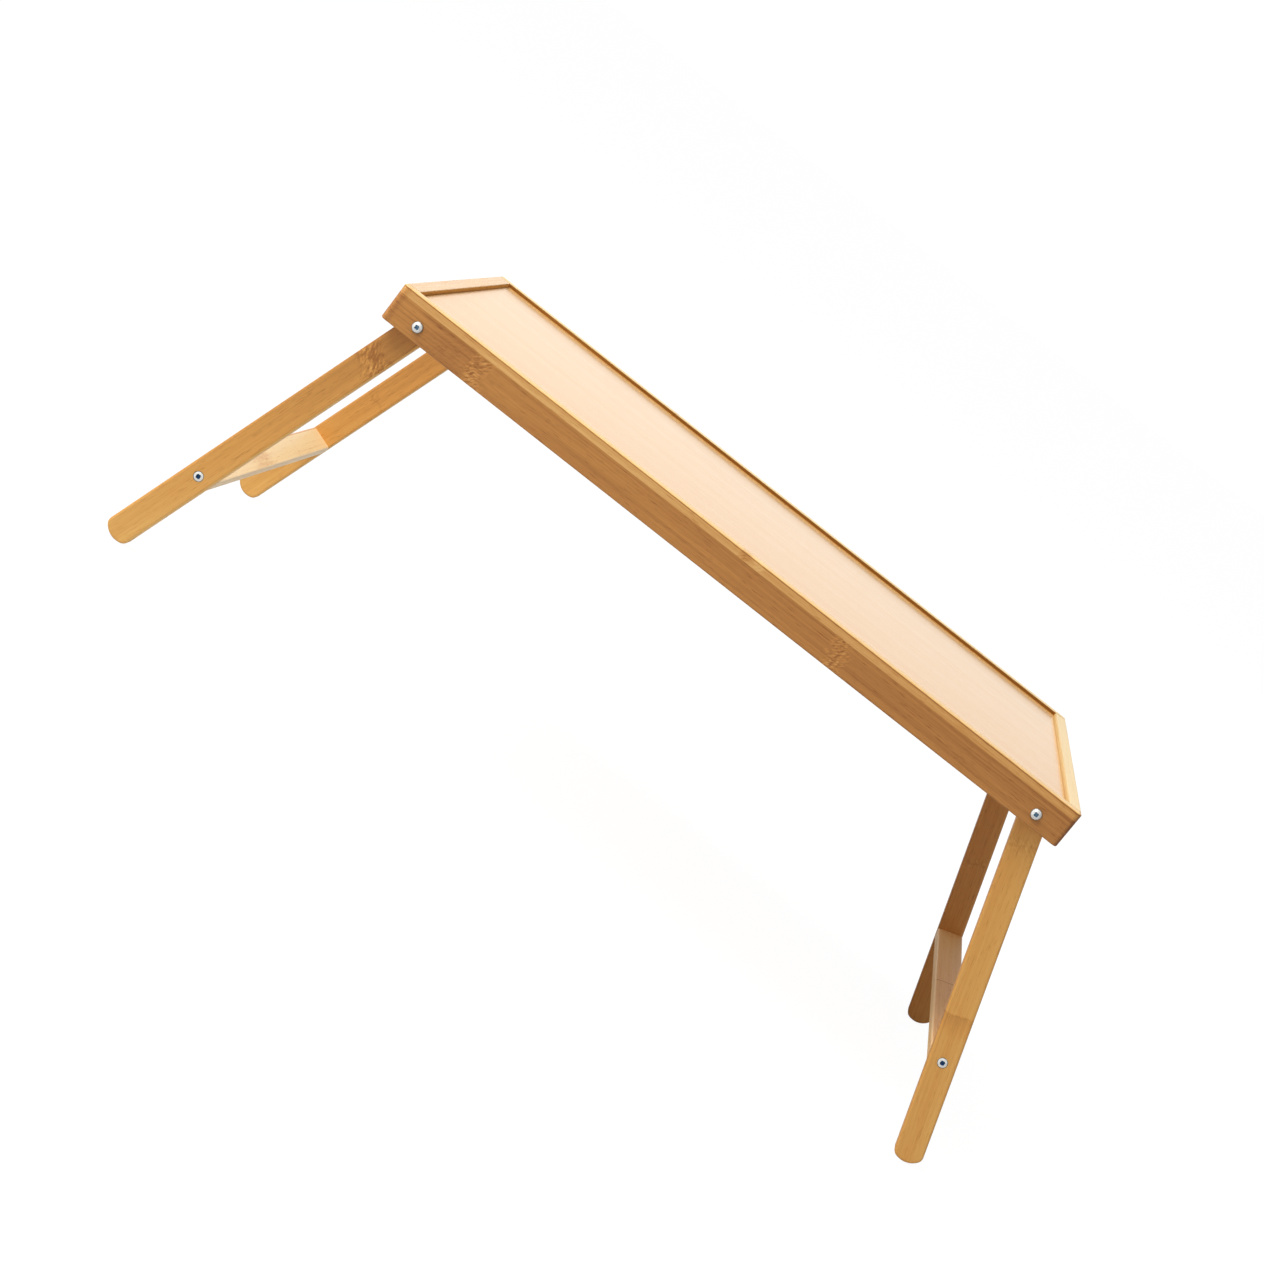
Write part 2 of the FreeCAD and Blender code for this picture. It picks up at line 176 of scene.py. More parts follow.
class Bench:
    """Sets nodes on one node tree and wires them together."""

    def __init__(self, owner: bpy.types.Material | bpy.types.World) -> None:
        """Empty the owner's tree.

        Args:
            owner: The material or world to work on.
        """
        owner.use_nodes = True
        self.tree = owner.node_tree
        self.tree.nodes.clear()

    def node(self, kind: str, **settings: object) -> bpy.types.Node:
        """Add a node.

        Args:
            kind: Blender's name of the node type.
            **settings: Properties to set on the node.

        Returns:
            The new node.
        """
        made = self.tree.nodes.new(kind)
        for name, value in settings.items():
            setattr(made, name, value)
        return made

    def feed(self, socket: Socket, source: Source) -> None:
        """Link a socket to another one, or set it to a plain value.

        Args:
            socket: The input to feed.
            source: An output socket, a number, a vector or a colour.
        """
        if isinstance(source, Socket):
            self.tree.links.new(source, socket)
        else:
            socket.default_value = source

    def math(self, operation: str, first: Source, second: Source = 0.0, clamp: bool = False) -> Socket:
        """Work out one number.

        Args:
            operation: Blender's name of the operation.
            first: First operand.
            second: Second operand.
            clamp: Keep the result between 0 and 1.

        Returns:
            The result's socket.
        """
        made = self.node("ShaderNodeMath", operation=operation, use_clamp=clamp)
        self.feed(made.inputs[0], first)
        self.feed(made.inputs[1], second)
        return made.outputs[0]

    def vector(self, operation: str, first: Source, second: Source, output: str = "Vector") -> Socket:
        """Work on two vectors.

        Args:
            operation: Blender's name of the operation.
            first: First operand.
            second: Second operand.
            output: "Value" where the result is a number.

        Returns:
            The result's socket.
        """
        made = self.node("ShaderNodeVectorMath", operation=operation)
        self.feed(made.inputs[0], first)
        self.feed(made.inputs[1], second)
        return made.outputs[output]

    def split(self, source: Socket) -> tuple[Socket, ...]:
        """Take a vector apart.

        Args:
            source: The vector.

        Returns:
            The sockets of its three numbers.
        """
        made = self.node("ShaderNodeSeparateXYZ")
        self.feed(made.inputs[0], source)
        return tuple(made.outputs)

    def join(self, *parts: Source) -> Socket:
        """Put a vector together.

        Args:
            *parts: Its three numbers.

        Returns:
            The vector's socket.
        """
        made = self.node("ShaderNodeCombineXYZ")
        for socket, part in zip(made.inputs, parts):
            self.feed(socket, part)
        return made.outputs[0]

    def noise(self, place: Socket, stretch: Spot, seed: float = 0.0, detail: float = 2.0,
              roughness: float = 0.5) -> Socket:
        """Noise about 0, from about -0.5 to 0.5, on a stretched place.

        Args:
            place: Where the noise is read, in millimetres.
            stretch: Waves per millimetre along each axis.
            seed: Moves the pattern, so that two pieces differ.
            detail: Octaves on top of the first.
            roughness: Weight of each further octave.

        Returns:
            The noise's socket.
        """
        scaled = self.vector("MULTIPLY", place, stretch)
        moved = self.vector("ADD", scaled, tuple(seed * step for step in SEED_STEP))
        made = self.node("ShaderNodeTexNoise", noise_dimensions="3D")
        self.feed(made.inputs["Vector"], moved)
        self.feed(made.inputs["Scale"], 1.0)
        self.feed(made.inputs["Detail"], detail)
        self.feed(made.inputs["Roughness"], roughness)
        return self.math("SUBTRACT", made.outputs["Fac"], NOISE_MIDDLE)

    def between(self, value: Source, low: float, high: float, at_low: float = 0.0,
                at_high: float = 1.0) -> Socket:
        """Ease a number smoothly from one value to another.

        Args:
            value: The number to read.
            low: Where the change starts.
            high: Where it ends.
            at_low: Result at and below low.
            at_high: Result at and above high.

        Returns:
            The eased number's socket.
        """
        made = self.node("ShaderNodeMapRange", interpolation_type="SMOOTHSTEP")
        for name, source in zip(("Value", "From Min", "From Max", "To Min", "To Max"),
                                (value, low, high, at_low, at_high)):
            self.feed(made.inputs[name], source)
        return made.outputs["Result"]

    def ramp(self, value: Socket, stops: Sequence[tuple[float, Colour]]) -> Socket:
        """Colour that follows a number.

        Args:
            value: The number to read.
            stops: Places from 0 to 1 with their colours, in order.

        Returns:
            The colour's socket.
        """
        made = self.node("ShaderNodeValToRGB")
        elements = made.color_ramp.elements
        while len(elements) < len(stops):
            elements.new(1.0)
        for element, (place, colour) in zip(elements, stops):
            element.position = place
            element.color = colour
        self.feed(made.inputs["Fac"], value)
        return made.outputs["Color"]

    def surface(self, inputs: dict[str, Source]) -> None:
        """End a material's tree in a principled surface.

        Args:
            inputs: What feeds the surface's inputs, by their names.
        """
        made = self.node("ShaderNodeBsdfPrincipled")
        for name, source in inputs.items():
            self.feed(made.inputs[name], source)
        output = self.node("ShaderNodeOutputMaterial")
        self.feed(output.inputs["Surface"], made.outputs[0])


@dataclass(frozen=True)
class BambooTone:
    """Colours of one sort of bamboo strip, from its dark fibres to its pale pith side."""

    dark: Colour
    body: Colour
    pale: Colour

    @classmethod
    def of_screen(cls, dark: Screen, body: Screen, pale: Screen) -> "BambooTone":
        """The tone of three screen colours."""
        return cls(screen_colour(*dark), screen_colour(*body), screen_colour(*pale))

    def stops(self) -> list[tuple[float, Colour]]:
        """Stops of the ramp that turns a tone from 0 to 1 into a colour."""
        return list(zip(TONE_PLACES, (self.dark, self.body, self.pale)))


RAIL_TONE = BambooTone.of_screen((150, 90, 42), (207, 144, 74), (250, 207, 134))
# its dark end colours the painted shade along the top of the back rail's inner face
BACK_RAIL_TONE = BambooTone.of_screen((140, 90, 38), (207, 144, 74), (252, 218, 140))
LEFT_END_TONE = BambooTone.of_screen((150, 100, 52), (226, 168, 96), (252, 213, 144))
RIGHT_END_TONE = BambooTone.of_screen((204, 142, 72), (221, 186, 120), (255, 226, 175))
PANEL_TONE = BambooTone.of_screen((230, 172, 90), (238, 190, 126), (242, 206, 157))
LEG_TONE = BambooTone.of_screen((168, 106, 48), (222, 159, 79), (244, 196, 114))
# darker, redder copy of the leg tone for the right back leg: its darkness is painted shade of the tray
SHADED_LEG_TONE = BambooTone.of_screen((130, 76, 32), (192, 126, 58), (220, 166, 94))
SLAT_TONE = BambooTone.of_screen((220, 162, 98), (255, 227, 174), (255, 234, 192))
# darker copy of the slat tone for the right slat: painted shade of the tray
SHADED_SLAT_TONE = BambooTone.of_screen((196, 132, 80), (238, 184, 120), (250, 210, 152))
DOWEL_TONE = BambooTone.of_screen((170, 130, 84), (214, 180, 132), (232, 204, 160))


@dataclass(frozen=True)
class GrainPattern:
    """What the grain of all the bamboo has in common.

    The stretches are waves per millimetre along the three axes of the grain space, the spans say where a
    soft change starts and ends, and the soft widths lie on either side of a boundary.
    """

    fibre_stretch: Spot = (0.022, 1.7, 1.7)
    sway_stretch: Spot = (0.007, 0.02, 0.02)
    fleck_stretch: Spot = (0.13, 2.3, 2.3)
    ragged_stretch: Spot = (0.05, 0.22, 0.22)
    speck_stretch: Spot = (0.30, 0.85, 1.0)
    speck_slant_deg: float = 38.0
    sway_mm: float = 3.0
    fibre_span: Span = (-0.25, 0.25)
    fleck_span: Span = (0.10, 0.24)
    end_span: Span = (0.75, 0.95)
    line_span_mm: Span = (0.3, 1.3)
    shade_span_mm: Span = (-0.4, 0.6)
    mark_core: float = 0.2
    glue_soft_mm: float = 0.25
    # softness of the edge of the thin skin that carries painted shade and painted bounce light
    painted_skin_soft_mm: float = 0.2
    mark_soft_mm: float = 0.4
    matte_soft: float = 0.04
    rougher: float = 0.06
    smoother: float = 0.04
    end_rougher: float = 0.18
    end_darker: float = 0.14
    coat_roughness: float = 0.15
    bump_mm: float = 0.03


GRAIN = GrainPattern()


@dataclass(frozen=True)
class NodeMarkAndPaintedShade:
    """Mark where a joint of the cane crossed the strip; the same kind of mark also paints shade on the front
    rail's rounded ends.

    The speckles, the lift of the whole patch, the thin line and the shade past the line are changes of
    tone, and low_mm and high_mm keep the mark to one strip of the stack.
    """

    at_mm: float
    spread_mm: float = 7.0
    speckle: float = 0.9
    lift: float = 0.0
    line: float = 0.06
    shade: float = 0.0
    fade_mm: float = 18.0
    low_mm: float = -400.0
    high_mm: float = 400.0


@dataclass(frozen=True)
class BambooFinish:
    """Lacquered bamboo: stacked strips with fibres, flecks and node marks, with painted light and shade, as
    one solid pattern.

    Each band starts at a place across the stack, in millimetres, and has a tone from 0 to 1.
    """

    name: str
    tone: BambooTone
    run: GrainRun
    origin: Spot
    across: Across
    bands: Bands
    marks: tuple[NodeMarkAndPaintedShade, ...] = ()
    # bands on a thin skin of the inner face, and its depth: painted shade and painted bounce light
    painted_skin_bands: Bands = ()
    painted_skin_mm: float = 0.0
    seed: float = 0.0
    drift: float = 0.0
    streak_stretch: Spot = (0.0055, 0.5, 0.5)
    streak_weight: float = 0.34
    fibre_weight: float = 0.26
    fleck_weight: float = 0.20
    roughness: float = 0.36
    coat: float = 0.0
    ior: float = 1.43
    gloss: float = 0.5
    matte_below: float = 0.0
    bump: float = 0.2

    def material(self) -> bpy.types.Material:
        """Build the material.

        Returns:
            The material, with its colour, roughness and bump all from the same grain.
        """
        made = bpy.data.materials.new(self.name)
        bench = Bench(made)
        coordinates = bench.node("ShaderNodeTexCoord")
        straight = self._grain_space(bench, coordinates.outputs["Object"])
        grain = self._wavy(bench, straight)
        fibre = bench.noise(grain, GRAIN.fibre_stretch, self.seed + Layer.FIBRE.value, detail=3.0,
                            roughness=0.6)
        streak = bench.noise(grain, self.streak_stretch, self.seed + Layer.STREAK.value)
        drift = bench.math("MULTIPLY", bench.split(grain)[0], self.drift / DRIFT_RUN_MM)
        strip = self._strip_tone(bench, straight)
        tone = bench.math("ADD", strip, drift)
        for pattern, weight in ((streak, self.streak_weight), (fibre, self.fibre_weight),
                                (self._flecks(bench, grain), -self.fleck_weight)):
            tone = bench.math("ADD", tone, bench.math("MULTIPLY", pattern, weight))
        for mark in self.marks:
            tone = bench.math("ADD", tone, self._mark_tone(bench, grain, mark))
        ends = self._end_grain(bench, coordinates.outputs["Normal"])
        tone = bench.math("SUBTRACT", tone, bench.math("MULTIPLY", ends, GRAIN.end_darker), clamp=True)
        self._shade(bench, tone, fibre, ends, self._gloss(bench, strip))
        return made

    def _grain_space(self, bench: Bench, place: Socket) -> Socket:
        """Millimetres along the grain, across the width and up the height.

        Args:
            bench: Where the nodes go.
            place: Object coordinates.

        Returns:
            The place's socket in the grain's own space.
        """
        mapping = bench.node("ShaderNodeMapping", vector_type="TEXTURE")
        bench.feed(mapping.inputs["Vector"], place)
        bench.feed(mapping.inputs["Location"], self.origin)
        bench.feed(mapping.inputs["Rotation"], self.run.radians)
        bench.feed(mapping.inputs["Scale"], (MM, MM, MM))
        return mapping.outputs["Vector"]

    def _wavy(self, bench: Bench, straight: Socket) -> Socket:
        """Let the fibres sway a little, while the glue lines stay straight.

        Args:
            bench: Where the nodes go.
            straight: Place in the grain's own space.

        Returns:
            The wavy place's socket.
        """
        sway = bench.noise(straight, GRAIN.sway_stretch, self.seed + Layer.SWAY.value, detail=1.0)
        bend = bench.math("MULTIPLY", sway, GRAIN.sway_mm)
        return bench.vector("ADD", straight, bench.join(0.0, bend, bend))

    def _strip_tone(self, bench: Bench, straight: Socket) -> Socket:
        """Tone of the strip at a place, with a stack of its own on a thin skin of the inner face, where
        painted shade and painted bounce light go.

        Args:
            bench: Where the nodes go.
            straight: Place in the grain's own space.

        Returns:
            The tone's socket.
        """
        level = bench.split(straight)[self.across.value]
        tone = self._stack(bench, level, self.bands)
        if self.painted_skin_bands:
            depth = bench.split(straight)[Across.WIDTH.value]
            inside = bench.between(depth, self.painted_skin_mm - GRAIN.painted_skin_soft_mm,
                                   self.painted_skin_mm + GRAIN.painted_skin_soft_mm, 1.0, 0.0)
            change = bench.math("SUBTRACT", self._stack(bench, level, self.painted_skin_bands), tone)
            tone = bench.math("ADD", tone, bench.math("MULTIPLY", change, inside))
        return tone

    def _stack(self, bench: Bench, level: Socket, bands: Bands) -> Socket:
        """Tone in a stack of strips.

        Args:
            bench: Where the nodes go.
            level: Place across the strips, in millimetres.
            bands: Where each strip starts, with its tone.

        Returns:
            The tone's socket.
        """
        tone = bench.math("ADD", bands[0][1], 0.0)
        for (start_mm, strip), (_, before) in zip(bands[1:], bands):
            step = bench.between(level, start_mm - GRAIN.glue_soft_mm, start_mm + GRAIN.glue_soft_mm,
                                 0.0, strip - before)
            tone = bench.math("ADD", tone, step)
        return tone

    def _flecks(self, bench: Bench, grain: Socket) -> Socket:
        """Short dark dashes of cut fibre bundles, as a mask."""
        dashes = bench.noise(grain, GRAIN.fleck_stretch, self.seed + Layer.FLECK.value, detail=1.0)
        return bench.between(dashes, *GRAIN.fleck_span)

    def _mark_tone(self, bench: Bench, grain: Socket, mark: NodeMarkAndPaintedShade) -> Socket:
        """Change of tone that one mark makes: a node mark, or a band of painted shade.

        Args:
            bench: Where the nodes go.
            grain: Place in the grain's own space.
            mark: The mark's place and strength.

        Returns:
            The change's socket.
        """
        along = bench.split(grain)[0]
        level = bench.split(grain)[self.across.value]
        seed = self.seed + mark.at_mm
        ragged = bench.noise(grain, GRAIN.ragged_stretch, seed, detail=1.0)
        wander = bench.math("MULTIPLY", ragged, mark.spread_mm)
        distance = bench.math("ADD", bench.math("SUBTRACT", along, mark.at_mm), wander)
        away = bench.math("ABSOLUTE", distance)

        specks = self._specks(bench, along, level, seed + Layer.SPECK.value)
        speckled = bench.math("ADD", bench.math("MULTIPLY", specks, mark.speckle), mark.lift)
        patch = bench.between(away, GRAIN.mark_core * mark.spread_mm, mark.spread_mm, 1.0, 0.0)
        change = bench.math("MULTIPLY", speckled, patch)

        line = bench.between(away, *GRAIN.line_span_mm, -mark.line, 0.0)
        past = bench.math("MULTIPLY", bench.between(distance, *GRAIN.shade_span_mm, 0.0, -mark.shade),
                          bench.between(distance, 0.0, mark.fade_mm, 1.0, 0.0))
        change = bench.math("ADD", bench.math("ADD", change, line), past)

        soft = GRAIN.mark_soft_mm
        inside = bench.math("MULTIPLY", bench.between(level, mark.low_mm - soft, mark.low_mm + soft),
                            bench.between(level, mark.high_mm - soft, mark.high_mm + soft, 1.0, 0.0))
        return bench.math("MULTIPLY", change, inside)

    def _specks(self, bench: Bench, along: Socket, level: Socket, seed: float) -> Socket:
        """Short slanting specks of a node mark.

        Args:
            bench: Where the nodes go.
            along: Place along the grain, in millimetres.
            level: Place across the strips, in millimetres.
            seed: Moves the pattern.

        Returns:
            The specks' socket, a noise about 0.
        """
        turn = math.radians(GRAIN.speck_slant_deg)
        lengthwise = bench.math("ADD", bench.math("MULTIPLY", along, math.cos(turn)),
                                bench.math("MULTIPLY", level, math.sin(turn)))
        crosswise = bench.math("SUBTRACT", bench.math("MULTIPLY", level, math.cos(turn)),
                               bench.math("MULTIPLY", along, math.sin(turn)))
        slanted = bench.join(lengthwise, crosswise, 0.0)
        return bench.noise(slanted, GRAIN.speck_stretch, seed, roughness=0.6)

    def _end_grain(self, bench: Bench, normal: Socket) -> Socket:
        """Mask of the faces that are sawn across the grain.

        Args:
            bench: Where the nodes go.
            normal: Normal in the object's own space.

        Returns:
            The mask's socket.
        """
        turn = Matrix.Identity(3)
        for axis, angle in zip("XYZ", self.run.radians):
            turn = Matrix.Rotation(angle, 3, axis) @ turn
        along = tuple(turn @ Vector((1.0, 0.0, 0.0)))
        facing = bench.vector("DOT_PRODUCT", normal, along, "Value")
        return bench.between(bench.math("ABSOLUTE", facing), *GRAIN.end_span)

    def _gloss(self, bench: Bench, strip: Socket) -> Source:
        """Specular level, which a dark strip can be without.

        Args:
            bench: Where the nodes go.
            strip: Tone of the strip.

        Returns:
            The level, a number or a socket.
        """
        if not self.matte_below:
            return self.gloss
        return bench.between(strip, self.matte_below - GRAIN.matte_soft, self.matte_below + GRAIN.matte_soft,
                             0.0, self.gloss)

    def _shade(self, bench: Bench, tone: Socket, fibre: Socket, ends: Socket, gloss: Source) -> None:
        """Wire the tone, roughness and bump into the surface.

        Args:
            bench: Where the nodes go.
            tone: Tone of the grain from 0 to 1.
            fibre: Fine fibre pattern.
            ends: Mask of the sawn ends.
            gloss: Specular level, a number or a socket.
        """
        satin = bench.between(fibre, *GRAIN.fibre_span, self.roughness + GRAIN.rougher,
                              self.roughness - GRAIN.smoother)
        rough = bench.math("ADD", satin, bench.math("MULTIPLY", ends, GRAIN.end_rougher), clamp=True)
        bump = bench.node("ShaderNodeBump")
        bench.feed(bump.inputs["Strength"], self.bump)
        bench.feed(bump.inputs["Distance"], GRAIN.bump_mm * MM)
        bench.feed(bump.inputs["Height"], bench.math("ADD", fibre, tone))
        bench.surface({"Base Color": bench.ramp(tone, self.tone.stops()), "Roughness": rough,
                       "IOR": self.ior, "Specular IOR Level": gloss, "Coat Weight": self.coat,
                       "Coat Roughness": GRAIN.coat_roughness, "Normal": bump.outputs["Normal"]})


@dataclass(frozen=True)
class ZincFinish:
    """Bright zinc plate with a faint cloudy grain."""

    name: str
    colour: Colour
    roughness: float
    metallic: float
    cloud_per_mm: float = 0.9
    shade_share: float = 0.82
    tint_span: Span = (-0.2, 0.1)
    rough_span: Span = (-0.2, 0.2)
    rougher: float = 0.1
    smoother: float = 0.05

    def material(self) -> bpy.types.Material:
        """Build the material.

        Returns:
            The material, with cloudy colour and roughness.
        """
        made = bpy.data.materials.new(self.name)
        bench = Bench(made)
        coordinates = bench.node("ShaderNodeTexCoord")
        place = bench.vector("DIVIDE", coordinates.outputs["Object"], (MM, MM, MM))
        cloud = bench.noise(place, (self.cloud_per_mm,) * 3, detail=3.0)
        shade = tuple(self.shade_share * part for part in self.colour[:3]) + (1.0,)
        tint = bench.between(cloud, *self.tint_span)
        rough = bench.between(cloud, *self.rough_span, self.roughness + self.rougher,
                              self.roughness - self.smoother)
        bench.surface({"Base Color": bench.ramp(tint, [(0.0, shade), (1.0, self.colour)]),
                       "Metallic": self.metallic, "Roughness": rough})
        return made


def dress(node: str, material: bpy.types.Material) -> None:
    """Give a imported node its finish.

    Args:
        node: Name of the node.
        material: The finish's material.
    """
    slots = frame["nodes"][node].data.materials
    slots.clear()
    slots.append(material)
    LOG.info("dressed %s in %s", node, material.name)


@dataclass(frozen=True)
class RailLook:
    """What sets one rail apart from the others."""

    tone: BambooTone
    bands: Bands
    marks: tuple[NodeMarkAndPaintedShade, ...]
    # bands of the thin inner skin: painted shade and painted bounce light
    painted_skin_bands: Bands = ()
    roughness: float = 0.36
    matte_below: float = 0.0


@dataclass
class Tray:
    """Rails, panel and corner dowels."""

    strip_mm: float = 18.9
    edge_mm: float = 23.0
    line_mm: float = 0.7
    # the back rail's thin inner skin: a band of painted bounce light from the panel, then a band of painted
    # shade along the top of the inner face
    painted_skin_mm: float = -4.6
    painted_bounce_mm: float = 2.2
    painted_shade_mm: float = 0.8
    # painted fall-off of the lamp's light: the long rails grow darker towards the right
    rail_drift: float = -0.020
    rail_streaks: float = 0.42
    end_mark_mm: float = 38.0
    dowel_tone: float = 0.5
    panel_strip_mm: float = 19.0
    panel_front_tone: float = 0.22
    # painted light: how much paler the panel's strips grow from front to back
    panel_rise: float = 0.48
    panel_vary: float = 0.045
    panel_turn: float = 2.4

    def build(self) -> None:
        """Dress every bamboo piece of the tray."""
        self._dress_long_rails()
        self._dress_end_rails()
        self._dress_panel()
        self._dress_dowels()

    def _long_looks(self) -> dict[End, RailLook]:
        """Two stacked strips for each long rail: the back rail is the same stock turned over.

        Returns:
            The look of the front and of the back rail.
        """
        low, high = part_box("front_rail")
        strip = self.strip_mm
        turned = (high.z - low.z) / MM - strip
        line, edge = self.edge_mm, self.edge_mm + self.line_mm
        # the top band, 0.90 from edge upwards, is painted top light and sheen that makes the top face pale
        front = RailLook(
            RAIL_TONE, ((0.0, 0.35), (strip, 0.61), (line, 0.30), (edge, 0.90)),
            (NodeMarkAndPaintedShade(-186.0, 10.0, speckle=1.2, lift=0.05, high_mm=strip),
             NodeMarkAndPaintedShade(-206.0, 32.0, speckle=0.2, lift=-0.10, line=0.0, high_mm=strip),
             NodeMarkAndPaintedShade(-222.0, 70.0, speckle=0.0, lift=-0.05, line=0.0, low_mm=strip),
             NodeMarkAndPaintedShade(81.0, 10.0, speckle=1.2, lift=0.05, high_mm=strip),
             NodeMarkAndPaintedShade(3.5, 5.0, speckle=0.8, lift=-0.14, low_mm=strip),
             NodeMarkAndPaintedShade(13.0, 6.0, speckle=0.5, lift=0.08, line=0.0, low_mm=strip),
             # the last two marks are painted shade, not node marks: a dark line inside the rounded left end
             # and a darker rounded right end
             NodeMarkAndPaintedShade(-246.5, 3.0, speckle=0.2, lift=-0.10, line=0.0),
             NodeMarkAndPaintedShade(249.6, 2.0, speckle=0.2, lift=-0.28, line=0.0)))
        back = RailLook(
            # the top band, 0.90, is painted top light and sheen on the back rail's top face
            BACK_RAIL_TONE, ((0.0, 0.61), (turned, 0.34), (edge, 0.90)),
            (NodeMarkAndPaintedShade(-95.0, low_mm=turned), NodeMarkAndPaintedShade(172.0, low_mm=turned),
             NodeMarkAndPaintedShade(60.0, 4.0, speckle=0.7, high_mm=turned)),
            # painted light on the inner face: golden painted bounce light from the panel, then a dark matte
            # band of painted shade along its top
            painted_skin_bands=((0.0, 0.45), (line - self.painted_bounce_mm, 0.68), (line - self.painted_shade_mm, 0.06)),
            matte_below=0.2)
        return {End.FRONT: front, End.BACK: back}

    def _dress_long_rails(self) -> None:
        """Dress the front and the back rail."""
        for end, look in self._long_looks().items():
            node = f"{end.label}_rail"
            low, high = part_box(node)
            origin = (0.0, (low.y + high.y) / 2, low.z)
            finish = BambooFinish(f"{node}_bamboo", look.tone, GrainRun.ALONG_X, origin, Across.HEIGHT,
                                  look.bands, look.marks, look.painted_skin_bands, painted_skin_mm=self.painted_skin_mm,
                                  seed=Seed.LONG_RAIL.value + end.value, drift=self.rail_drift,
                                  streak_weight=self.rail_streaks, roughness=look.roughness,
                                  matte_below=look.matte_below)
            dress(node, finish.material())

    def _end_looks(self) -> dict[Side, RailLook]:
        """Strips side by side for each end rail, with a darker one along the inner side, which on the left
        rail is painted shade.

        Returns:
            The look of the left and of the right end rail.
        """
        # the darker strip along the left rail's inner side, 0.48 and matte, is painted shade on its inner
        # face
        left = RailLook(LEFT_END_TONE, ((-9.0, 0.48), (-4.0, 0.61)),
                        (NodeMarkAndPaintedShade(-self.end_mark_mm, 5.0, speckle=0.5),),
                        roughness=0.24, matte_below=0.55)
        # the pale middle strip, 0.90, shows along the top face as painted top light and sheen
        right = RailLook(RIGHT_END_TONE, ((-9.0, 0.12), (-4.1, 0.90), (3.9, 0.50)),
                         (NodeMarkAndPaintedShade(self.end_mark_mm, 5.0, speckle=0.5),),
                         roughness=0.50)
        return {Side.LEFT: left, Side.RIGHT: right}

    def _dress_end_rails(self) -> None:
        """Dress the left and the right end rail."""
        for side, look in self._end_looks().items():
            node = f"{side.label}_end_rail"
            low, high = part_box(node)
            origin = ((low.x + high.x) / 2, 0.0, low.z)
            finish = BambooFinish(f"{node}_bamboo", look.tone, GrainRun.ALONG_Y, origin, Across.WIDTH,
                                  look.bands, look.marks, seed=Seed.END_RAIL.value + side.value,
                                  roughness=look.roughness, matte_below=look.matte_below)
            dress(node, finish.material())

    def _dress_panel(self) -> None:
        """Pale strips glued edge to edge, with faint differences, a little paler towards the back as painted
        light.
        """
        low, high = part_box("top_panel")
        count = round((high.y - low.y) / (self.panel_strip_mm * MM))
        levels = [self.panel_front_tone + self.panel_rise * number / count
                  + self.panel_vary * math.sin(self.panel_turn * number) for number in range(count)]
        bands = tuple((low.y / MM + number * self.panel_strip_mm, level)
                      for number, level in enumerate(levels))
        finish = BambooFinish("panel_bamboo", PANEL_TONE, GrainRun.ALONG_X, (0.0, 0.0, low.z),
                              Across.WIDTH, bands, seed=Seed.PANEL.value,
                              streak_stretch=(0.004, 0.12, 0.12), streak_weight=0.12, fibre_weight=0.10,
                              fleck_weight=0.06, roughness=0.22, coat=0.1, ior=1.5, bump=0.08)
        dress("top_panel", finish.material())

    def _dress_dowels(self) -> None:
        """Plain bamboo for the dowels in the corner joints."""
        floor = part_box("corner_dowels")[0].z
        finish = BambooFinish("dowel_bamboo", DOWEL_TONE, GrainRun.ALONG_Y, (0.0, 0.0, floor),
                              Across.HEIGHT, ((0.0, self.dowel_tone),), seed=Seed.DOWEL.value)
        dress("corner_dowels", finish.material())


@dataclass
class LegFrame:
    """Two legs with the slat that joins them."""

    side: Side
    pivot: Vector
    tones: dict[End, BambooTone]
    marks: dict[End, tuple[NodeMarkAndPaintedShade, ...]]
    level: float
    outer_edge_level: float
    inner_edge_level: float
    drift: float
    slat_tone: BambooTone
    slat_marks: tuple[NodeMarkAndPaintedShade, ...]
    slat_bands: Bands
    slat_roughness: float = 0.36
    slat_drift: float = 0.0
    half_width_mm: float = 9.0
    edge_mm: float = 8.2
    glue_line_mm: float = 2.5
    strip_step: float = 0.03
    streaks: float = 0.20
    fibres: float = 0.32

    def build(self) -> None:
        """Dress both legs and the slat."""
        for end in End:
            self._dress_leg(end)
        self._dress_slat()

    def _leg_bands(self) -> Bands:
        """Two strips side by side, with a tone of its own for each rounded edge: on the left legs the outer
        edge's dark tone is painted shade and the inner edge's pale tone painted light.
        """
        return ((-self.half_width_mm, self.outer_edge_level), (-self.edge_mm, self.level - self.strip_step),
                (self.glue_line_mm, self.level + self.strip_step), (self.edge_mm, self.inner_edge_level))

    def _dress_leg(self, end: End) -> None:
        """Dress one leg, with its grain along it.

        Args:
            end: Which leg.
        """
        node = f"{self.side.label}_{end.label}_leg"
        low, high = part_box(node)
        origin = (self.pivot.x, (low.y + high.y) / 2, self.pivot.z)
        finish = BambooFinish(f"{node}_bamboo", self.tones[end], GrainRun[f"{self.side.name}_LEG"], origin,
                              Across.HEIGHT, self._leg_bands(), self.marks[end],
                              seed=Seed.LEG.value + 2 * self.side.value + end.value, drift=self.drift,
                              streak_weight=self.streaks, fibre_weight=self.fibres)
        dress(node, finish.material())

    def _dress_slat(self) -> None:
        """Dress the slat, with its grain from leg to leg."""
        node = f"{self.side.label}_stretcher"
        low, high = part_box(node)
        finish = BambooFinish(f"{node}_bamboo", self.slat_tone, GrainRun[f"{self.side.name}_SLAT"],
                              tuple((low + high) / 2), Across.WIDTH, self.slat_bands, self.slat_marks,
                              seed=Seed.SLAT.value + self.side.value, drift=self.slat_drift,
                              roughness=self.slat_roughness)
        dress(node, finish.material())


class MetalPart(Enum):
    """Parts of a fastener that have a material of their own, with their places among its materials: the
    rim's and the recess's are painted shade and painted reflection.
    """

    BODY = 0
    RIM = 1
    RECESS = 2


